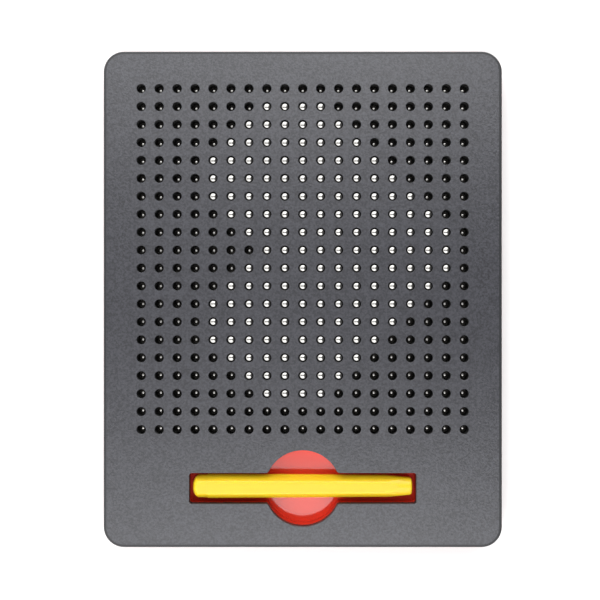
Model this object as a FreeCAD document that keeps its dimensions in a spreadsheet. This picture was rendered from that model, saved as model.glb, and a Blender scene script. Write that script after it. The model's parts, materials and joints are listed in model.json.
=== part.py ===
import FreeCAD, Part
import math
import os

import Sketcher
from FreeCAD import Vector

# A free-standing bead drawing board. Steel balls stand in a grid of cells behind a flat panel. A
# magnet in the stylus pulls a ball up to the face, and a fingertip pushes it back down.
#
# Frame: +Z out of the drawing face, +Y towards the board's top edge, +X to the right. The origin is
# the middle of the footprint, level with the soles of the feet. Every length is in millimetres.

DRIVING = {
    # Outer case
    "board_width": 185.6,
    "board_length": 231.0,
    "corner_radius": 9.5,
    "face_level": 13.0,  # height of the drawing face above the table
    "rim_inset": 1.4,  # smooth rim left round the slightly raised drawing face
    "rim_drop": 0.35,
    "rim_edge_radius": 0.8,
    "face_edge_radius": 0.15,
    "skin_thickness": 2.0,
    "skirt_wall": 2.0,
    "back_plate": 2.0,
    "back_edge_radius": 0.6,
    "parting_gap": 0.15,  # seam between the front panel's skirt and the back cover
    "locating_lip": 1.2,
    "locating_lip_rise": 2.0,
    # Feet
    "foot_proud": 1.0,
    "foot_seat": 0.5,
    "foot_radius": 6.0,
    "foot_edge_radius": 0.4,
    "foot_x": 70.0,
    "foot_y": 100.0,
    "glue_line": 0.05,
    # Screws, in a grid of two columns
    "screw_x": 84.0,
    "screw_y": 106.5,
    "screw_rows": 4,
    "screw_head_radius": 2.7,
    "screw_head_height": 1.7,
    "screw_head_round": 1.1,
    "screw_shank_radius": 1.4,
    "screw_shank_length": 6.6,
    "screw_sink": 0.6,  # how deep the head lies below the back
    "screw_web": 1.2,  # plastic under the head
    "drive_width": 0.9,
    "drive_span": 3.2,
    "drive_depth": 1.0,
    "post_radius": 3.6,
    "boss_radius": 3.0,
    # Ball grid
    "columns": 19,
    "ball_rows": 20,
    "pitch": 8.35,
    "grid_rise": 18.75,  # middle of the grid above the middle of the board
    "ball_radius": 2.25,
    "mouth_radius": 2.1,
    "mouth_chamfer": 0.15,
    "lip_thickness": 1.15,
    "counterbore_radius": 2.5,
    "cell_radius": 2.6,
    "stop_clearance": 0.12,  # left between a ball and either of its stops
    # Layers behind the face
    "layer_margin": 4.85,  # from the outermost cell centres to a layer's edge
    "layer_corner": 3.0,
    "layer_gap": 0.15,
    "upper_sheet": 1.5,
    "lower_sheet": 0.6,
    "cell_floor": 0.6,
    # Stylus recess: a slot crossed by a round finger well
    "recess_y": -87.95,
    "slot_length": 105.6,
    "slot_width": 14.2,
    "slot_corner": 1.2,
    "well_radius": 17.7,
    "junction_radius": 1.6,
    "opening_edge_radius": 0.3,
    "collar_drop": 1.2,  # how far the collar round the opening reaches below the skin
    "collar_wall": 1.6,
    "recess_step": 0.3,  # the recess wall stands this far outside the opening
    "recess_wall": 1.6,
    "slot_floor_rise": 0.9,  # the slot's floor stands this far above the well's
    # Stylus
    "stylus_x": -0.15,
    "stylus_y": 0.4,  # the stylus lies this far up the board from the middle of the slot
    "stylus_length": 102.2,
    "across_flats": 10.3,  # at the barrel's back end
    "barrel_taper": 0.35,  # degrees, by which each flat leans in towards the tip
    "hexagon_round": 1.3,
    "resting_gap": 0.05,
    "tip_length": 13.0,
    "tip_start_radius": 5.2,
    "tip_radius": 4.1,
    "tip_round": 1.1,
    "tip_wall": 1.0,
    "bore_radius": 3.2,
    "magnet_radius": 2.5,
    "magnet_length": 10.0,
    "magnet_edge": 0.2,
    "cap_length": 6.7,
    "cap_across_flats": 9.7,
    "cap_dome": 4.0,
    "plug_length": 8.0,
    "plug_chamfer": 0.5,
    "fit_gap": 0.05,
}


class Size:
    """A length that holds its number and the sheet expression it comes from."""

    def __init__(self, number, expression):
        self.number = number
        self.expression = expression

    def combine(self, other, sign, number):
        """Join two sizes, or a size and a plain number, with an arithmetic sign."""
        right = other.expression if isinstance(other, Size) else repr(other)
        return Size(number, f"({self.expression} {sign} {right})")

    def __add__(self, other):
        return self.combine(other, "+", self.number + number_of(other))

    def __sub__(self, other):
        return self.combine(other, "-", self.number - number_of(other))

    def __mul__(self, other):
        return self.combine(other, "*", self.number * number_of(other))

    def __truediv__(self, other):
        return self.combine(other, "/", self.number / number_of(other))

    def __neg__(self):
        return self * -1

    def root(self):
        """The square root."""
        return Size(math.sqrt(self.number), f"sqrt({self.expression})")


def number_of(value):
    """The plain number behind a size or a number."""
    return value.number if isinstance(value, Size) else value


doc = FreeCAD.newDocument("BeadDrawingBoard")
sheet = doc.addObject("Spreadsheet::Sheet", "dims")
for line, (alias, amount) in enumerate(DRIVING.items(), start=1):
    sheet.set(f"A{line}", alias)
    sheet.set(f"B{line}", str(amount))
    sheet.setAlias(f"B{line}", alias)
doc.recompute()


class Dimensions:
    """The sheet's cells, read by name as sizes."""

    def __getattr__(self, alias):
        return Size(float(DRIVING[alias]), f"dims.{alias}")


d = Dimensions()
ZERO = Size(0.0, "0")

# Heights above the table
back_level = d.foot_proud
floor_level = d.foot_proud + d.back_plate
rim_level = d.face_level - d.rim_drop
skin_level = d.face_level - d.skin_thickness
lip_level = d.face_level - d.lip_thickness
skirt_level = floor_level + d.parting_gap
collar_level = skin_level - d.collar_drop
lower_sheet_level = floor_level + d.layer_gap
tray_level = lower_sheet_level + d.lower_sheet + d.layer_gap
upper_sheet_level = skin_level - d.layer_gap - d.upper_sheet
tray_top_level = upper_sheet_level - d.layer_gap
cell_level = tray_level + d.cell_floor
head_seat_level = back_level + d.screw_sink + d.screw_head_height
post_level = head_seat_level + d.screw_web
boss_level = post_level + d.parting_gap

# A ball rests on its cell's floor, or stands under the lip of its mouth
lowered_level = cell_level + d.stop_clearance + d.ball_radius
ball_rise = (d.ball_radius * d.ball_radius - d.mouth_radius * d.mouth_radius).root()
raised_level = lip_level - ball_rise - d.stop_clearance

# Ball grid
grid_width = d.pitch * (d.columns - 1)
grid_length = d.pitch * (d.ball_rows - 1)
first_column = -grid_width / 2
first_row = d.grid_rise - grid_length / 2
layer_width = grid_width + d.layer_margin * 2
layer_length = grid_length + d.layer_margin * 2


def bind(thing, prop, size):
    """Tie a property to the sheet, or set it if the size is a plain number."""
    if isinstance(size, Size):
        thing.setExpression(prop, size.expression)
    else:
        setattr(thing, prop, size)


def origin_feature(body, role):
    """One of a body's own origin planes or axes."""
    return next(item for item in body.Origin.OriginFeatures if item.Role == role)


def new_body(label):
    """An empty body that becomes one sub-part."""
    body = doc.addObject("PartDesign::Body", label)
    body.Label = label
    return body


def new_sketch(body, name, role="XY_Plane", level=ZERO):
    """A sketch on one of the body's origin planes, moved along the plane's normal."""
    sketch = body.newObject("Sketcher::SketchObject", name)
    sketch.AttachmentSupport = [(origin_feature(body, role), "")]
    sketch.MapMode = "FlatFace"
    bind(sketch, "AttachmentOffset.Base.z", level)
    doc.recompute()
    return sketch


def dimension(sketch, kind, *reference, size):
    """Add a dimensional constraint and tie it to the sheet by a name of its own."""
    name = f"size_{len(sketch.ExpressionEngine)}"
    index = sketch.addConstraint(Sketcher.Constraint(kind, *reference, size.number))
    sketch.renameConstraint(index, name)
    bind(sketch, f"Constraints.{name}", size)


def locate(sketch, geometry, point, x, y):
    """Place one point of a sketch from the sketch's origin."""
    for kind, axis, size in (("DistanceX", -2, x), ("DistanceY", -1, y)):
        if size.number == 0:
            sketch.addConstraint(Sketcher.Constraint("PointOnObject", geometry, point, axis))
        else:
            dimension(sketch, kind, -1, 1, geometry, point, size=size)


def draw_circle(sketch, x, y, radius):
    """A circle placed from the sketch's origin."""
    centre = Vector(x.number, y.number, 0)
    circle = sketch.addGeometry(Part.Circle(centre, Vector(0, 0, 1), radius.number))
    locate(sketch, circle, 3, x, y)
    dimension(sketch, "Radius", circle, size=radius)


def draw_outline(sketch, corners, rounds=()):
    """A closed outline of straight sides, with an arc at each corner listed as (number, radius)."""
    points = [Vector(x.number, y.number, 0) for x, y in corners]
    sides = []
    for start, end in zip(points, points[1:] + points[:1]):
        sides.append(sketch.addGeometry(Part.LineSegment(start, end)))
    for side, following in zip(sides, sides[1:] + sides[:1]):
        sketch.addConstraint(Sketcher.Constraint("Coincident", side, 2, following, 1))
    for side, (x, y) in zip(sides, corners):
        locate(sketch, side, 1, x, y)
    for number, radius in rounds:
        arc = sketch.GeometryCount
        sketch.fillet(sides[number], 1, radius.number, True, True)
        dimension(sketch, "Radius", arc, size=radius)


def rectangle_corners(width, length, x=ZERO, y=ZERO):
    """The corners of a rectangle about a centre, anticlockwise from the lower left."""
    left, right = x - width / 2, x + width / 2
    low, high = y - length / 2, y + length / 2
    return [(left, low), (right, low), (right, high), (left, high)]


def draw_rounded_rectangle(sketch, width, length, radius, x=ZERO, y=ZERO):
    """A rectangle about a centre whose corners are arcs, tangent to its sides."""
    centres = rectangle_corners(width - radius * 2, length - radius * 2, x, y)
    arcs = []
    for quarter, (centre_x, centre_y) in enumerate(centres):
        start = math.pi + quarter * math.pi / 2
        circle = Part.Circle(Vector(centre_x.number, centre_y.number, 0), Vector(0, 0, 1), radius.number)
        arc = sketch.addGeometry(Part.ArcOfCircle(circle, start, start + math.pi / 2))
        locate(sketch, arc, 3, centre_x, centre_y)
        arcs.append(arc)
    dimension(sketch, "Radius", arcs[0], size=radius)
    for arc in arcs[1:]:
        sketch.addConstraint(Sketcher.Constraint("Equal", arcs[0], arc))
    for arc, following in zip(arcs, arcs[1:] + arcs[:1]):
        side = Part.LineSegment(sketch.getPoint(arc, 2), sketch.getPoint(following, 1))
        line = sketch.addGeometry(side)
        sketch.addConstraint(Sketcher.Constraint("Tangent", arc, 2, line, 1))
        sketch.addConstraint(Sketcher.Constraint("Tangent", line, 2, following, 1))


def add_pad(body, name, sketch, height, reverse=False):
    """Add material over a sketch."""
    pad = body.newObject("PartDesign::Pad", name)
    pad.Profile = sketch
    pad.Reversed = reverse
    bind(pad, "Length", height)
    doc.recompute()
    return pad


def cut_pocket(body, name, sketch, depth, upwards=True):
    """Remove material over a sketch, upwards or downwards from its plane, and prove that it did."""
    before = body.Shape.Volume
    pocket = body.newObject("PartDesign::Pocket", name)
    pocket.Profile = sketch
    pocket.Reversed = upwards
    bind(pocket, "Length", depth)
    doc.recompute()
    if body.Shape.Volume >= before:
        raise RuntimeError(f"{name} cuts nothing from {body.Label}")
    return pocket


def revolve(body, kind, name, sketch, axis):
    """Turn a sketch once round an axis, to add (Revolution) or remove (Groove) material."""
    turned = body.newObject(f"PartDesign::{kind}", name)
    turned.Profile = sketch
    turned.ReferenceAxis = axis
    turned.Angle = 360
    doc.recompute()
    return turned


def repeat(body, name, features, extent_x, count_x, extent_y=None, count_y=None):
    """Repeat features along X, and along Y if asked, over the given extents."""
    pattern = body.newObject("PartDesign::LinearPattern", name)
    pattern.Originals = features
    pattern.Direction = (origin_feature(body, "X_Axis"), [""])
    bind(pattern, "Length", extent_x)
    bind(pattern, "Occurrences", count_x)
    if extent_y:
        pattern.Direction2 = (origin_feature(body, "Y_Axis"), [""])
        bind(pattern, "Length2", extent_y)
        bind(pattern, "Occurrences2", count_y)
    body.Tip = pattern
    doc.recompute()
    return pattern


def round_edges(body, name, base, radius, wanted, kind="Fillet"):
    """Round (or chamfer) the edges of a feature that the wanted test picks."""
    edges = [f"Edge{number}" for number, edge in enumerate(base.Shape.Edges, start=1) if wanted(edge)]
    if not edges:
        raise RuntimeError(f"{name} finds no edge on {body.Label}")
    dressed = body.newObject(f"PartDesign::{kind}", name)
    dressed.Base = (base, edges)
    bind(dressed, "Radius" if kind == "Fillet" else "Size", radius)
    body.Tip = dressed
    doc.recompute()
    return dressed


def upright(edge):
    """Whether an edge is a straight line along Z."""
    return isinstance(edge.Curve, Part.Line) and abs(edge.Curve.Direction.z) > 0.999


def at_level(edge, level):
    """Whether an edge lies flat at a height."""
    box = edge.BoundBox
    return abs(box.ZMin - level.number) < 1e-4 and abs(box.ZMax - level.number) < 1e-4


def near_well(edge, reach):
    """Whether an edge's middle is within reach of the finger well's axis."""
    middle = edge.BoundBox.Center
    return math.hypot(middle.x, middle.y - d.recess_y.number) < reach.number


def beside_recess(edge):
    """Whether an edge's middle is no further up or down the board than the recess reaches."""
    return abs(edge.BoundBox.Center.y - d.recess_y.number) < d.well_radius.number


def plate(body, name, width, length, corner, level, thickness):
    """A flat plate about the middle of the body, with rounded corners."""
    sketch = new_sketch(body, f"{name}_outline", level=level)
    draw_rounded_rectangle(sketch, width, length, corner)
    return add_pad(body, name, sketch, thickness)


def layer(label, level, thickness):
    """A sheet or tray that covers the ball grid. Its own origin is the middle of the grid."""
    body = new_body(label)
    bind(body, "Placement.Base.y", d.grid_rise)
    plate(body, label + "_plate", layer_width, layer_length, d.layer_corner, level, thickness)
    return body


def bore_grid(body, name, radius, level, depth):
    """A round hole at every place of the ball grid, upwards from a level of a layer."""
    sketch = new_sketch(body, f"{name}_circle", level=level)
    draw_circle(sketch, first_column, -grid_length / 2, radius)
    first = cut_pocket(body, name, sketch, depth)
    return repeat(body, f"{name}_grid", [first], grid_width, d.columns, grid_length, d.ball_rows)


def repeat_at_screws(body, name, features):
    """Repeat features from the first screw's place over all the screws."""
    return repeat(body, name, features, d.screw_x * 2, 2, d.screw_y * 2, d.screw_rows)


def recess_plan(body, name, level, grow, height, cut, slot_rise=ZERO):
    """Pad or cut the recess's plan, a slot crossed by a round well, grown all round by an amount."""
    slot = new_sketch(body, f"{name}_slot_outline", level=level + slot_rise)
    draw_rounded_rectangle(slot, d.slot_length + grow * 2, d.slot_width + grow * 2,
                           d.slot_corner + grow, ZERO, d.recess_y)
    well = new_sketch(body, f"{name}_well_outline", level=level)
    draw_circle(well, ZERO, d.recess_y, d.well_radius + grow)
    make = cut_pocket if cut else add_pad
    make(body, f"{name}_slot", slot, height - slot_rise)
    return make(body, f"{name}_well", well, height)


def round_junctions(body, name, base, grow):
    """Round the four upright edges where the well crosses the slot."""
    reach = d.well_radius + grow + 0.01
    return round_edges(body, name, base, d.junction_radius - grow,
                       lambda edge: upright(edge) and near_well(edge, reach))


def make_front_panel():
    """The moulded front: a skin with the ball mouths and a collared recess opening, a skirt, and bosses."""
    body = new_body("front_panel")
    rim = plate(body, "rim", d.board_width, d.board_length, d.corner_radius, skirt_level,
                rim_level - skirt_level)
    round_edges(body, "rim_edge", rim, d.rim_edge_radius, lambda edge: at_level(edge, rim_level))
    face = plate(body, "face", d.board_width - d.rim_inset * 2, d.board_length - d.rim_inset * 2,
                 d.corner_radius - d.rim_inset, rim_level, d.rim_drop)
    round_edges(body, "face_edge", face, d.face_edge_radius, lambda edge: at_level(edge, d.face_level))

    hollow = new_sketch(body, "hollow_outline", level=skirt_level)
    draw_rounded_rectangle(hollow, d.board_width - d.skirt_wall * 2, d.board_length - d.skirt_wall * 2,
                           d.corner_radius - d.skirt_wall)
    cut_pocket(body, "hollow", hollow, skin_level - skirt_level)

    boss_circle = new_sketch(body, "boss_circle", level=boss_level)
    draw_circle(boss_circle, -d.screw_x, -d.screw_y, d.boss_radius)
    boss = add_pad(body, "boss", boss_circle, skin_level - boss_level + d.rim_drop)
    pilot_circle = new_sketch(body, "pilot_circle", level=boss_level)
    draw_circle(pilot_circle, -d.screw_x, -d.screw_y, d.screw_shank_radius + d.fit_gap)
    pilot_depth = head_seat_level + d.screw_shank_length + d.parting_gap - boss_level
    pilot = cut_pocket(body, "pilot", pilot_circle, pilot_depth)
    repeat_at_screws(body, "bosses", [boss, pilot])

    recess_plan(body, "collar", collar_level, d.collar_wall, d.collar_drop, cut=False)
    opening = recess_plan(body, "opening", collar_level, ZERO, d.face_level - collar_level, cut=True)
    opening = round_junctions(body, "opening_junctions", opening, ZERO)
    round_edges(body, "opening_edge", opening, d.opening_edge_radius,
                lambda edge: at_level(edge, d.face_level) and beside_recess(edge))

    # Half the section of one ball mouth, turned about the hole's own axis: a counterbore that the
    # ball rises into, the lip that stops it, and a chamfer at the face
    mouth = new_sketch(body, "mouth_section", "XZ_Plane", -first_row)
    bind(mouth, "AttachmentOffset.Base.x", first_column)
    draw_outline(mouth, [
        (ZERO, skin_level),
        (d.counterbore_radius, skin_level),
        (d.counterbore_radius, lip_level),
        (d.mouth_radius, lip_level),
        (d.mouth_radius, d.face_level - d.mouth_chamfer),
        (d.mouth_radius + d.mouth_chamfer, d.face_level),
        (ZERO, d.face_level),
    ])
    first_mouth = revolve(body, "Groove", "mouth", mouth, (mouth, ["V_Axis"]))
    repeat(body, "mouths", [first_mouth], grid_width, d.columns, grid_length, d.ball_rows)


def make_upper_magnet_sheet():
    """A flexible magnetic sheet with a hole round each ball, which holds raised balls at the face."""
    body = layer("upper_magnet_sheet", upper_sheet_level, d.upper_sheet)
    bore_grid(body, "passage", d.cell_radius, upper_sheet_level, d.upper_sheet)


def make_bead_tray():
    """The tray whose blind round cells guide the balls up and down."""
    body = layer("bead_tray", tray_level, tray_top_level - tray_level)
    bore_grid(body, "cell", d.cell_radius, cell_level, tray_top_level - cell_level)


def make_lower_magnet_sheet():
    """A thin plain magnetic sheet under the tray, which keeps lowered balls down."""
    layer("lower_magnet_sheet", lower_sheet_level, d.lower_sheet)


def make_back_cover():
    """The back shell: a plate with the walls of the stylus recess, a locating lip and screw posts."""
    body = new_body("back_cover")
    base = plate(body, "back", d.board_width, d.board_length, d.corner_radius, back_level, d.back_plate)
    round_edges(body, "back_edge", base, d.back_edge_radius, lambda edge: at_level(edge, back_level))

    # A lip stands just inside the front panel's skirt
    inset = d.skirt_wall + d.parting_gap
    lip = new_sketch(body, "lip_outline", level=floor_level)
    for depth in (inset, inset + d.locating_lip):
        draw_rounded_rectangle(lip, d.board_width - depth * 2, d.board_length - depth * 2,
                               d.corner_radius - depth)
    add_pad(body, "lip", lip, d.locating_lip_rise)

    wall_height = collar_level - d.parting_gap - floor_level
    recess_plan(body, "wall", floor_level, d.recess_step + d.recess_wall, wall_height, cut=False)
    recess = recess_plan(body, "recess", floor_level, d.recess_step, wall_height, cut=True,
                         slot_rise=d.slot_floor_rise)
    round_junctions(body, "recess_junctions", recess, d.recess_step)

    post_circle = new_sketch(body, "post_circle", level=floor_level)
    draw_circle(post_circle, -d.screw_x, -d.screw_y, d.post_radius)
    post = add_pad(body, "post", post_circle, post_level - floor_level)
    clearance_circle = new_sketch(body, "clearance_circle", level=back_level)
    draw_circle(clearance_circle, -d.screw_x, -d.screw_y, d.screw_shank_radius + d.fit_gap * 4)
    clearance = cut_pocket(body, "clearance", clearance_circle, post_level - back_level)
    sink_circle = new_sketch(body, "sink_circle", level=back_level)
    draw_circle(sink_circle, -d.screw_x, -d.screw_y, d.screw_head_radius + d.fit_gap * 4)
    sink = cut_pocket(body, "sink", sink_circle, head_seat_level - back_level)
    repeat_at_screws(body, "posts", [post, clearance, sink])

    seat_circle = new_sketch(body, "seat_circle", level=back_level)
    draw_circle(seat_circle, -d.foot_x, -d.foot_y, d.foot_radius + d.fit_gap * 4)
    seat = cut_pocket(body, "seat", seat_circle, d.foot_seat)
    repeat(body, "seats", [seat], d.foot_x * 2, 2, d.foot_y * 2, 2)


def make_case_screws():
    """Pan-head screws with a cross drive, driven from the back into the front panel's bosses."""
    body = new_body("case_screws")
    section = new_sketch(body, "screw_section", "XZ_Plane", d.screw_y)
    bind(section, "AttachmentOffset.Base.x", -d.screw_x)
    head_level = head_seat_level - d.screw_head_height
    shank_end = head_seat_level + d.screw_shank_length
    draw_outline(section, [
        (ZERO, head_level),
        (d.screw_head_radius, head_level),
        (d.screw_head_radius, head_seat_level - d.fit_gap),
        (d.screw_shank_radius, head_seat_level - d.fit_gap),
        (d.screw_shank_radius, shank_end - d.screw_shank_radius),
        (d.screw_shank_radius / 3, shank_end),
        (ZERO, shank_end),
    ], rounds=[(1, d.screw_head_round)])
    screw = revolve(body, "Revolution", "screw", section, (section, ["V_Axis"]))
    slots = {"across": (d.drive_span, d.drive_width), "along": (d.drive_width, d.drive_span)}
    drives = []
    for name, (width, length) in slots.items():
        drive = new_sketch(body, f"drive_{name}_outline", level=head_level)
        draw_outline(drive, rectangle_corners(width, length, -d.screw_x, -d.screw_y))
        drives.append(cut_pocket(body, f"drive_{name}", drive, d.drive_depth))
    repeat_at_screws(body, "screws", [screw] + drives)


def make_rubber_feet():
    """Four round stick-on feet, seated in shallow recesses of the back."""
    body = new_body("rubber_feet")
    top = back_level + d.foot_seat - d.glue_line
    section = new_sketch(body, "foot_section", "XZ_Plane", d.foot_y)
    bind(section, "AttachmentOffset.Base.x", -d.foot_x)
    draw_outline(section, [
        (ZERO, ZERO),
        (d.foot_radius, ZERO),
        (d.foot_radius, top),
        (ZERO, top),
    ], rounds=[(1, d.foot_edge_radius)])
    foot = revolve(body, "Revolution", "foot", section, (section, ["V_Axis"]))
    repeat(body, "feet", [foot], d.foot_x * 2, 2, d.foot_y * 2, 2)


def lay_along_recess(body):
    """Put a stylus piece, drawn about the X axis, at its resting place over the slot's floor."""
    bind(body, "Placement.Base.x", d.stylus_x)
    bind(body, "Placement.Base.y", d.recess_y + d.stylus_y)
    bind(body, "Placement.Base.z",
         floor_level + d.slot_floor_rise + d.resting_gap + d.across_flats / 2)


def hexagon_bar(body, name, across_flats, start, length, taper=ZERO):
    """A hexagonal bar along +X with a flat on top and rounded long edges. It may taper towards +X."""
    side = across_flats / math.sqrt(3)
    sketch = new_sketch(body, f"{name}_hexagon", "YZ_Plane", start)
    half = across_flats / 2
    draw_outline(sketch, [
        (side, ZERO), (side / 2, half), (-side / 2, half),
        (-side, ZERO), (-side / 2, -half), (side / 2, -half),
    ])
    bar = add_pad(body, name, sketch, length)
    bind(bar, "TaperAngle", -taper)
    doc.recompute()
    return round_edges(body, f"{name}_long_edges", bar, d.hexagon_round,
                       lambda edge: edge.BoundBox.XLength > length.number - 1e-3)


stylus_start = -d.stylus_length / 2
barrel_start = stylus_start + d.cap_length
stylus_end = d.stylus_length / 2
magnet_end = stylus_end - d.tip_wall
magnet_start = magnet_end - d.magnet_length


def make_stylus_barrel():
    """The hollow hexagonal barrel, sharpened like a pencil to a blunt round tip."""
    body = new_body("stylus_barrel")
    lay_along_recess(body)
    hexagon_bar(body, "barrel", d.across_flats, barrel_start, stylus_end - barrel_start, d.barrel_taper)

    # What sharpening takes off the bar: the region outside a cone, turned about the bar's axis
    cone = new_sketch(body, "cone_section", "XZ_Plane")
    outside = d.across_flats
    cone_start = stylus_end - d.tip_length
    draw_outline(cone, [
        (cone_start, d.tip_start_radius),
        (stylus_end, d.tip_radius),
        (stylus_end, ZERO),
        (stylus_end + d.tip_wall, ZERO),
        (stylus_end + d.tip_wall, outside),
        (cone_start, outside),
    ], rounds=[(1, d.tip_round)])
    revolve(body, "Groove", "cone", cone, (cone, ["H_Axis"]))

    bore = new_sketch(body, "bore_section", "XZ_Plane")
    draw_outline(bore, [
        (barrel_start, ZERO),
        (barrel_start, d.bore_radius),
        (magnet_start, d.bore_radius),
        (magnet_start, d.magnet_radius + d.fit_gap),
        (magnet_end, d.magnet_radius + d.fit_gap),
        (magnet_end, ZERO),
    ])
    revolve(body, "Groove", "bore", bore, (bore, ["H_Axis"]))


def make_stylus_end_cap():
    """The domed cap that closes the barrel's back end with a round plug."""
    body = new_body("stylus_end_cap")
    lay_along_recess(body)
    hexagon_bar(body, "cap", d.cap_across_flats, stylus_start, d.cap_length - d.fit_gap)

    # What rounding takes off the end: the region outside a domed rod
    dome = new_sketch(body, "dome_section", "XZ_Plane")
    corner = d.cap_across_flats / math.sqrt(3)
    draw_outline(dome, [
        (stylus_start, ZERO),
        (stylus_start, corner),
        (barrel_start, corner),
        (barrel_start, d.across_flats),
        (stylus_start - d.cap_dome, d.across_flats),
        (stylus_start - d.cap_dome, ZERO),
    ], rounds=[(1, d.cap_dome)])
    revolve(body, "Groove", "dome", dome, (dome, ["H_Axis"]))

    plug = new_sketch(body, "plug_section", "XZ_Plane")
    plug_radius = d.bore_radius - d.fit_gap
    plug_end = barrel_start + d.plug_length
    draw_outline(plug, [
        (barrel_start - d.cap_length / 2, ZERO),
        (barrel_start - d.cap_length / 2, plug_radius),
        (plug_end - d.plug_chamfer, plug_radius),
        (plug_end, plug_radius - d.plug_chamfer),
        (plug_end, ZERO),
    ])
    revolve(body, "Revolution", "plug", plug, (plug, ["H_Axis"]))


def make_stylus_magnet():
    """The round rod magnet just behind the tip."""
    body = new_body("stylus_magnet")
    lay_along_recess(body)
    section = new_sketch(body, "magnet_section", "XZ_Plane")
    start, end = magnet_start + d.fit_gap, magnet_end - d.fit_gap
    draw_outline(section, [
        (start, ZERO),
        (start, d.magnet_radius - d.magnet_edge),
        (start + d.magnet_edge, d.magnet_radius),
        (end - d.magnet_edge, d.magnet_radius),
        (end, d.magnet_radius - d.magnet_edge),
        (end, ZERO),
    ])
    revolve(body, "Revolution", "magnet", section, (section, ["H_Axis"]))


def raised_columns(row):
    """The columns of a row whose balls stand raised: together they draw a heart lying on its side.

    Rows count from 0 at the board's top edge and columns from 0 at its left edge. The heart is
    symmetrical about its middle row and has no ball in rows further than its half height.
    """
    middle_row, half_height = 9, 8
    away = abs(row - middle_row)
    if away > half_height:
        return range(0)
    first = max(7 - away, 4, away - 1)
    last = min(17, 18 - away)
    return range(first, last + 1)


def runs_of(columns):
    """Split a sorted list of columns into (first, count) runs without gaps."""
    runs = []
    for column in columns:
        if runs and column == sum(runs[-1]):
            runs[-1] = (runs[-1][0], runs[-1][1] + 1)
        else:
            runs.append((column, 1))
    return runs


def make_ball_row(label, row, columns, level):
    """The balls that stand at one level in one row of the grid, each a solid of its own."""
    body = new_body(label)
    bind(body, "Placement.Base.y", first_row + grid_length - d.pitch * row)
    bind(body, "Placement.Base.z", level)
    for first, count in runs_of(columns):
        ball = body.newObject("PartDesign::AdditiveSphere", f"{label}_from_{first + 1:02d}")
        bind(ball, "Radius", d.ball_radius)
        bind(ball, "Placement.Base.x", first_column + d.pitch * first)
        doc.recompute()
        if count > 1:
            repeat(body, f"{label}_run_{first + 1:02d}", [ball], d.pitch * (count - 1), count)


def make_balls():
    """Every row's raised balls and lowered balls."""
    columns = range(int(d.columns.number))
    for row in range(int(d.ball_rows.number)):
        raised = raised_columns(row)
        lowered = [column for column in columns if column not in raised]
        if raised:
            make_ball_row(f"raised_balls_row_{row + 1:02d}", row, raised, raised_level)
        make_ball_row(f"lowered_balls_row_{row + 1:02d}", row, lowered, lowered_level)


def export_parts():
    """Check every object, then write each body's shape to a file named after it."""
    doc.recompute()
    for item in doc.Objects:
        if {"Invalid", "Error"} & set(item.State):
            raise RuntimeError(f"{item.Label} failed: {item.State}")
    bodies = doc.findObjects("PartDesign::Body")
    for body in bodies:
        if body.Shape.isNull() or not body.Shape.isValid():
            raise RuntimeError(f"{body.Label} has no valid shape")
    os.makedirs("parts", exist_ok=True)
    for body in bodies:
        body.Shape.exportStep(f"parts/{body.Label}.step")
        box = body.Shape.BoundBox
        print(f"{body.Label}: {len(body.Shape.Solids)} solids, {body.Shape.Volume:.1f} mm3, "
              f"z {box.ZMin:.3f} to {box.ZMax:.3f}")


make_front_panel()
make_upper_magnet_sheet()
make_bead_tray()
make_lower_magnet_sheet()
make_back_cover()
make_case_screws()
make_rubber_feet()
make_stylus_barrel()
make_stylus_end_cap()
make_stylus_magnet()
make_balls()
export_parts()
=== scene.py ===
import json

import bpy
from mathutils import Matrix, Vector


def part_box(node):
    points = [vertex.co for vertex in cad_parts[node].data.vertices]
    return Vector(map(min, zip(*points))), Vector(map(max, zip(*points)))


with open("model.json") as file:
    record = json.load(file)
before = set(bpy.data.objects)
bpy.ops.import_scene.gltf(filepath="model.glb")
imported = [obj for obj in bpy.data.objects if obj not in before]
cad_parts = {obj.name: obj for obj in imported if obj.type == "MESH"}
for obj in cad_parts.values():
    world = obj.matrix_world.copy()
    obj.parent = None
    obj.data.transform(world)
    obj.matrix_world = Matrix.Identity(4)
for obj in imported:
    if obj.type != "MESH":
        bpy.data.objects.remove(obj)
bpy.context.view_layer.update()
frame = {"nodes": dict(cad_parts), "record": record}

# A bead drawing board seen from straight above. Every material is made of shader nodes, and reads
# places on the object in the frame's own metres, because each node's mesh sits in the row frame.
# X runs across the board, Y up the board and Z out of its face.

MILLIMETRE = 0.001

PANEL_LOW, PANEL_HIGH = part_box("front_panel")
BOARD_MIDDLE = (PANEL_LOW + PANEL_HIGH) / 2
HALF_LENGTH = (PANEL_HIGH.y - PANEL_LOW.y) / 2
FACE_LEVEL = PANEL_HIGH.z

# The camera looks straight down from just beside the middle of the board
CAMERA_ABOVE_FACE = 380 * MILLIMETRE
CAMERA_ASIDE = Vector((-1.3, -0.3, 0.0)) * MILLIMETRE
SEEN_WIDTH = 279 * MILLIMETRE  # what the picture's width spans at the drawing face
SENSOR_WIDTH = 36.0

# The light is a level sheet a little above the camera. A place on the face mirrors the place on the
# sheet that is SHEET_REACH times as far from the middle.
SHEET_ABOVE_FACE = CAMERA_ABOVE_FACE + 27 * MILLIMETRE
SHEET_REACH = 1 + SHEET_ABOVE_FACE / CAMERA_ABOVE_FACE
MIRRORED_END = HALF_LENGTH * SHEET_REACH
SHEET_LOW = (-550 * MILLIMETRE, -750 * MILLIMETRE)
SHEET_HIGH = (260 * MILLIMETRE, 750 * MILLIMETRE)

# Its glow grows from dim to bright between these distances from the middle, up and down the board
TOP_END = (0.50 * MIRRORED_END, 0.88 * MIRRORED_END)
BOTTOM_END = (-0.46 * MIRRORED_END, -0.84 * MIRRORED_END)
GLOW_AT_ENDS = 3.2
GLOW_BETWEEN = 0.80

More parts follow.
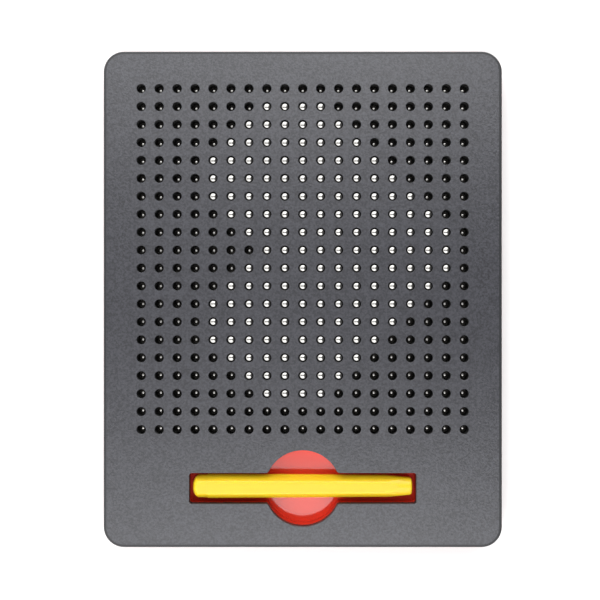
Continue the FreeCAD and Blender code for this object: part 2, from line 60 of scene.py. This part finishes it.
# The glow also grows a little along X, between these places
LEFT_SIDE = (-280 * MILLIMETRE, 60 * MILLIMETRE)
GLOW_AT_LEFT = 0.8  # share of the glow left over on the -X side

# The camera's arm comes in from +X and shades a band of the sheet that lies along X
ARM_EDGE = (50 * MILLIMETRE, 80 * MILLIMETRE)  # where its shade fades out, from its middle line
ARM_TIP = (80 * MILLIMETRE, 120 * MILLIMETRE)  # where its shade begins, along X
ARM_SHADE = 0.9  # share of the glow that the arm takes away

# The room round the board. A place on its walls is a direction, with each axis from -1 to 1.
WALL_GLOW = 1.5
TOP_WALL_GLOW = 3.0
TOP_WALL = (0.5, 0.9)  # how far towards +Y the brighter wall begins and is full
OPENING_GLOW = 0.08  # share of the walls' glow in the dark opening on the +X side
OPENING = (0.30, 0.50)  # how far towards +X the opening begins and is full
OPENING_NARROWING = 0.35  # how much later it begins for each step aside along Y
BACKDROP = 1.0  # what the camera sees in place of the room

FLOOR_REACH = 3000 * MILLIMETRE
FLOOR_SEEN = (0.84, 0.88)  # the two greys of its mottling
FLOOR_THROWN_BACK = 0.4  # the grey that the board sees


class Graph:
    """A small wrapper that adds nodes to one node tree and joins them."""

    def __init__(self, tree):
        self.tree = tree

    def add(self, kind, inputs=None, **settings):
        """A node with its settings and inputs; an input is a number, a colour or another socket."""
        node = self.tree.nodes.new(kind)
        for name, value in settings.items():
            setattr(node, name, value)
        for name, value in (inputs or {}).items():
            self.feed(node.inputs[name], value)
        return node

    def feed(self, socket, value):
        """Give an input socket a value or a link."""
        if isinstance(value, bpy.types.NodeSocket):
            self.tree.links.new(value, socket)
        else:
            socket.default_value = value

    def math(self, operation, first, second=0.0, third=0.0):
        """One arithmetic step."""
        node = self.add("ShaderNodeMath", {0: first, 1: second, 2: third}, operation=operation)
        return node.outputs[0]

    def ramp(self, value, start, end, low=0.0, high=1.0):
        """Go smoothly from low to high while value goes from start to end."""
        node = self.add("ShaderNodeMapRange", {"Value": value, "From Min": start, "From Max": end,
                                               "To Min": low, "To Max": high},
                        interpolation_type="SMOOTHSTEP")
        return node.outputs["Result"]

    def mix(self, share, first, second):
        """A colour between two colours."""
        node = self.add("ShaderNodeMix", {"Factor": share}, data_type="RGBA")
        # The colours' sockets have the same names as those for numbers, and come after them
        self.feed(node.inputs[6], first)
        self.feed(node.inputs[7], second)
        return node.outputs[2]

    def blend(self, share, first, second):
        """A number between two numbers."""
        return self.math("MULTIPLY_ADD", share, self.math("SUBTRACT", second, first), first)

    def axes(self, vector):
        """The x, y and z of a vector."""
        return self.add("ShaderNodeSeparateXYZ", {0: vector}).outputs

    def place(self):
        """The place on the object, in metres of the frame."""
        return self.add("ShaderNodeTexCoord").outputs["Object"]

    def noise(self, place, size, detail=3.0, roughness=0.55, stretch=(1, 1, 1)):
        """Soft noise of about 0 to 1 whose blobs are about size metres across."""
        scaled = self.add("ShaderNodeMapping", {"Vector": place, "Scale": stretch}).outputs[0]
        node = self.add("ShaderNodeTexNoise", {"Vector": scaled, "Scale": 1 / size,
                                               "Detail": detail, "Roughness": roughness})
        return node.outputs["Fac"]

    def bump(self, height, depth, strength=1.0, normal=None):
        """A surface normal for a height of 0 to 1 that stands for depth metres."""
        inputs = {"Height": height, "Distance": depth, "Strength": strength}
        if normal:
            inputs["Normal"] = normal
        return self.add("ShaderNodeBump", inputs).outputs["Normal"]


def grey(level):
    """A neutral colour."""
    return (level, level, level, 1.0)


def new_material(name):
    """An empty node material, its graph, and its principled shader."""
    material = bpy.data.materials.new(name)
    material.use_nodes = True
    graph = Graph(material.node_tree)
    shader = material.node_tree.nodes["Principled BSDF"]
    return material, graph, shader


def dress(graph, shader, **inputs):
    """Set a shader's inputs by their names, with underscores for spaces."""
    for name, value in inputs.items():
        graph.feed(shader.inputs[name.replace("_", " ")], value)


def panel_plastic():
    """Dark grey moulded plastic: a fine matt grain on the drawing face, smooth on the rim and sides."""
    material, graph, shader = new_material("panel_plastic")
    place = graph.place()
    height = graph.axes(place)[2]
    grained = graph.ramp(height, FACE_LEVEL - 0.2 * MILLIMETRE, FACE_LEVEL - 0.02 * MILLIMETRE)
    grain = graph.noise(place, 0.9 * MILLIMETRE, detail=4.0, roughness=0.6)
    cloud = graph.noise(place, 9 * MILLIMETRE, detail=2.0)
    tone = graph.blend(0.3, graph.ramp(grain, 0.35, 0.65), cloud)
    face_colour = graph.mix(tone, (0.007, 0.007, 0.011, 1), (0.047, 0.048, 0.059, 1))
    rim_colour = (0.020, 0.021, 0.024, 1)
    dress(graph, shader,
          Base_Color=graph.mix(grained, rim_colour, face_colour),
          Roughness=graph.blend(grained, 0.42, 0.32),
          Specular_IOR_Level=graph.blend(grained, 0.45, 0.72),
          Normal=graph.bump(grain, 0.15 * MILLIMETRE, grained))
    return material


def red_plastic():
    """Red moulded plastic: polished on the finger well's floor, matt in the rest of the recess, and
    finely grained outside. The rest of the recess is also painted a darker red, as painted shade.
    """
    material, graph, shader = new_material("red_plastic")
    place = graph.place()
    height = graph.axes(place)[2]
    below_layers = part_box("lower_magnet_sheet")[0].z  # just above the well's floor
    inside = graph.ramp(height, below_layers - 0.3 * MILLIMETRE, below_layers - 0.2 * MILLIMETRE)
    upward = graph.axes(graph.add("ShaderNodeNewGeometry").outputs["Normal"])[2]
    level = graph.ramp(upward, 0.7, 0.95)
    deepest = graph.ramp(height, below_layers, below_layers + 0.1 * MILLIMETRE, 1, 0)
    floor = graph.math("MULTIPLY", level, deepest)
    polished = graph.math("MULTIPLY", inside, floor)
    # Painted shade: all of the recess but the well's polished floor, its walls and raised floors, gets a
    # darker red
    recess_painted_shade = graph.math("SUBTRACT", inside, polished)
    cloud = graph.noise(place, 14 * MILLIMETRE)
    red = graph.mix(cloud, (0.82, 0.050, 0.024, 1), (0.90, 0.060, 0.028, 1))
    grain = graph.noise(place, 0.5 * MILLIMETRE, detail=4.0)
    ripple = graph.noise(place, 6 * MILLIMETRE, detail=1.0)
    outside_normal = graph.bump(grain, 0.03 * MILLIMETRE, graph.math("SUBTRACT", 1.0, inside))
    dress(graph, shader,
          Base_Color=graph.mix(recess_painted_shade, red, (0.64, 0.042, 0.020, 1)),
          Roughness=graph.blend(polished, 0.55, 0.09),
          Specular_IOR_Level=graph.blend(polished, 0.2, 0.72),
          Normal=graph.bump(ripple, 0.004 * MILLIMETRE, inside, outside_normal))
    return material


def yellow_plastic():
    """Yellow moulded plastic that lets a little light in, with faint drawn-out flow lines."""
    material, graph, shader = new_material("yellow_plastic")
    place = graph.place()
    flow = graph.noise(place, 0.8 * MILLIMETRE, stretch=(0.03, 1, 1))
    cloud = graph.noise(place, 7 * MILLIMETRE)
    tone = graph.blend(0.5, flow, cloud)
    dress(graph, shader,
          Base_Color=graph.mix(tone, (0.72, 0.47, 0.007, 1), (0.82, 0.57, 0.018, 1)),
          Roughness=graph.ramp(cloud, 0.3, 0.7, 0.30, 0.40),
          Subsurface_Weight=0.8,
          Subsurface_Radius=(1.0, 0.8, 0.15),
          Subsurface_Scale=3 * MILLIMETRE,
          Normal=graph.bump(flow, 0.02 * MILLIMETRE, 0.6))
    return material


def ball_steel():
    """Polished steel. Balls differ a little in tone, and each has faint swirls from the mill."""
    material, graph, shader = new_material("ball_steel")
    place = graph.place()
    patch = 3 * MILLIMETRE  # tones change from patch to patch, so nearly from ball to ball
    cell = graph.add("ShaderNodeVectorMath", {0: place, 1: (patch,) * 3}, operation="SNAP")
    chance = graph.add("ShaderNodeTexWhiteNoise", {"Vector": cell.outputs[0]}).outputs["Value"]
    swirl = graph.noise(place, 0.5 * MILLIMETRE, detail=5.0, roughness=0.7)
    tone = graph.blend(0.5, chance, swirl)
    dress(graph, shader,
          Base_Color=graph.mix(tone, (0.44, 0.43, 0.41, 1), (0.54, 0.53, 0.51, 1)),
          Metallic=1.0,
          Roughness=graph.ramp(swirl, 0.35, 0.7, 0.07, 0.16))
    return material


def tray_plastic():
    """Black moulded plastic with a matt grain."""
    material, graph, shader = new_material("tray_plastic")
    place = graph.place()
    grain = graph.noise(place, 0.6 * MILLIMETRE, detail=4.0)
    cloud = graph.noise(place, 8 * MILLIMETRE)
    dress(graph, shader,
          Base_Color=graph.mix(cloud, grey(0.09), grey(0.12)),
          Roughness=graph.ramp(cloud, 0.3, 0.7, 0.5, 0.65),
          Normal=graph.bump(grain, 0.03 * MILLIMETRE))
    return material


def magnet_sheet():
    """Flexible magnetic sheet: dark brown rubber full of fine ferrite grains."""
    material, graph, shader = new_material("magnet_sheet")
    place = graph.place()
    speck = graph.noise(place, 0.25 * MILLIMETRE, detail=2.0, roughness=0.8)
    cloud = graph.noise(place, 5 * MILLIMETRE)
    brown = graph.mix(cloud, (0.016, 0.012, 0.010, 1), (0.028, 0.021, 0.017, 1))
    dress(graph, shader,
          Base_Color=graph.mix(graph.ramp(speck, 0.6, 0.75), brown, grey(0.06)),
          Roughness=0.75,
          Normal=graph.bump(speck, 0.02 * MILLIMETRE))
    return material


def magnet_metal():
    """Nickel plating: slightly warm, with fine marks round the rod."""
    material, graph, shader = new_material("magnet_metal")
    marks = graph.noise(graph.place(), 0.4 * MILLIMETRE, detail=4.0, stretch=(4, 1, 1))
    dress(graph, shader,
          Base_Color=graph.mix(marks, (0.60, 0.56, 0.50, 1), (0.72, 0.69, 0.63, 1)),
          Metallic=1.0,
          Roughness=graph.ramp(marks, 0.3, 0.7, 0.16, 0.3))
    return material


def screw_steel():
    """Bright zinc plating with cloudy patches and fine scratches."""
    material, graph, shader = new_material("screw_steel")
    place = graph.place()
    cloud = graph.noise(place, 1.2 * MILLIMETRE)
    scratch = graph.noise(place, 0.15 * MILLIMETRE, detail=4.0, stretch=(1, 0.15, 1))
    dress(graph, shader,
          Base_Color=graph.mix(cloud, (0.48, 0.50, 0.54, 1), (0.70, 0.70, 0.68, 1)),
          Metallic=1.0,
          Roughness=graph.ramp(cloud, 0.3, 0.7, 0.25, 0.42),
          Normal=graph.bump(scratch, 0.01 * MILLIMETRE))
    return material


def foot_rubber():
    """Soft black rubber with a dull skin and a little dust."""
    material, graph, shader = new_material("foot_rubber")
    place = graph.place()
    grain = graph.noise(place, 0.35 * MILLIMETRE, detail=4.0)
    dust = graph.ramp(graph.noise(place, 3 * MILLIMETRE), 0.5, 0.75)
    dress(graph, shader,
          Base_Color=graph.mix(dust, grey(0.012), grey(0.035)),
          Roughness=0.85,
          Specular_IOR_Level=0.3,
          Normal=graph.bump(grain, 0.03 * MILLIMETRE))
    return material


def dress_nodes():
    """Give every CAD node the material that its slot in the record names."""
    makers = (panel_plastic, red_plastic, yellow_plastic, ball_steel, tray_plastic, magnet_sheet,
              magnet_metal, screw_steel, foot_rubber)
    made = {maker.__name__: maker() for maker in makers}
    for subpart in frame["record"]["subparts"]:
        mesh = frame["nodes"][subpart["node"]].data
        mesh.materials.clear()
        mesh.materials.append(made[subpart["material_slot"]])


def level_rectangle(name, low, high, level):
    """A level rectangle of the stage from one corner to the other."""
    mesh = bpy.data.meshes.new(name)
    corners = [(low[0], low[1], 0), (high[0], low[1], 0), (high[0], high[1], 0), (low[0], high[1], 0)]
    mesh.from_pydata(corners, [], [(0, 1, 2, 3)])
    rectangle = bpy.data.objects.new(name, mesh)
    rectangle.location.z = level
    bpy.context.scene.collection.objects.link(rectangle)
    return rectangle


def make_floor():
    """A plain pale floor under the feet. It throws less light back at the board than the camera sees."""
    floor = level_rectangle("floor", (-FLOOR_REACH,) * 2, (FLOOR_REACH,) * 2, 0)
    material, graph, shader = new_material("floor")
    cloud = graph.noise(graph.place(), 200 * MILLIMETRE)
    pale = graph.mix(cloud, grey(FLOOR_SEEN[0]), grey(FLOOR_SEEN[1]))
    seen = graph.add("ShaderNodeLightPath").outputs["Is Camera Ray"]
    dress(graph, shader,
          Base_Color=graph.mix(seen, grey(FLOOR_THROWN_BACK), pale),
          Roughness=0.9)
    floor.data.materials.append(material)


def sheet_glow(graph):
    """How bright each place of the light sheet is: bright over the board's ends and dim between."""
    right, up_board, _ = graph.axes(graph.place())
    top_end = graph.ramp(up_board, *TOP_END)
    bottom_end = graph.ramp(up_board, *BOTTOM_END)
    glow = graph.blend(graph.math("ADD", top_end, bottom_end), GLOW_BETWEEN, GLOW_AT_ENDS)
    across_arm = graph.ramp(graph.math("ABSOLUTE", up_board), *ARM_EDGE, ARM_SHADE, 0)
    along_arm = graph.ramp(right, *ARM_TIP)
    arm = graph.math("MULTIPLY", across_arm, along_arm)
    glow = graph.math("MULTIPLY", glow, graph.math("SUBTRACT", 1.0, arm))
    return graph.math("MULTIPLY", glow, graph.ramp(right, *LEFT_SIDE, GLOW_AT_LEFT, 1.0))


def hang_light_sheet():
    """A large soft light just above the camera, with the camera's arm across it from +X.

    The sheet lights the scene, but the camera doesn't see it.
    """
    sheet = level_rectangle("light_sheet", SHEET_LOW, SHEET_HIGH, FACE_LEVEL + SHEET_ABOVE_FACE)
    sheet.visible_camera = False
    material, graph, shader = new_material("light_sheet")
    dress(graph, shader,
          Base_Color=grey(0.0),
          Specular_IOR_Level=0.0,
          Emission_Color=grey(1.0),
          Emission_Strength=sheet_glow(graph))
    sheet.data.materials.append(material)


def light_room():
    """White walls all round, brightest past the board's top edge, with a dark opening on the +X side.

    The camera sees a plain white backdrop in every direction instead.
    """
    world = bpy.data.worlds.new("room")
    bpy.context.scene.world = world
    world.use_nodes = True
    graph = Graph(world.node_tree)
    across, along, _ = graph.axes(graph.add("ShaderNodeTexCoord").outputs["Generated"])
    aside = graph.math("ABSOLUTE", along)
    towards_opening = graph.math("MULTIPLY_ADD", aside, -OPENING_NARROWING, across)
    wall = graph.ramp(along, *TOP_WALL, WALL_GLOW, TOP_WALL_GLOW)
    opening = graph.ramp(towards_opening, *OPENING, 1.0, OPENING_GLOW)
    room_glow = graph.math("MULTIPLY", wall, opening)
    seen = graph.add("ShaderNodeLightPath").outputs["Is Camera Ray"]
    background = world.node_tree.nodes["Background"]
    graph.feed(background.inputs["Color"], grey(1.0))
    graph.feed(background.inputs["Strength"], graph.blend(seen, room_glow, BACKDROP))


def make_camera():
    """A camera that looks straight down at the drawing face."""
    data = bpy.data.cameras.new("camera")
    data.sensor_width = SENSOR_WIDTH
    data.lens = SENSOR_WIDTH * CAMERA_ABOVE_FACE / SEEN_WIDTH
    data.clip_start = 10 * MILLIMETRE
    camera = bpy.data.objects.new("camera", data)
    camera.location = BOARD_MIDDLE + CAMERA_ASIDE
    camera.location.z = FACE_LEVEL + CAMERA_ABOVE_FACE
    bpy.context.scene.collection.objects.link(camera)
    bpy.context.scene.camera = camera


bpy.context.scene.view_settings.view_transform = "Standard"
dress_nodes()
make_floor()
hang_light_sheet()
light_room()
make_camera()
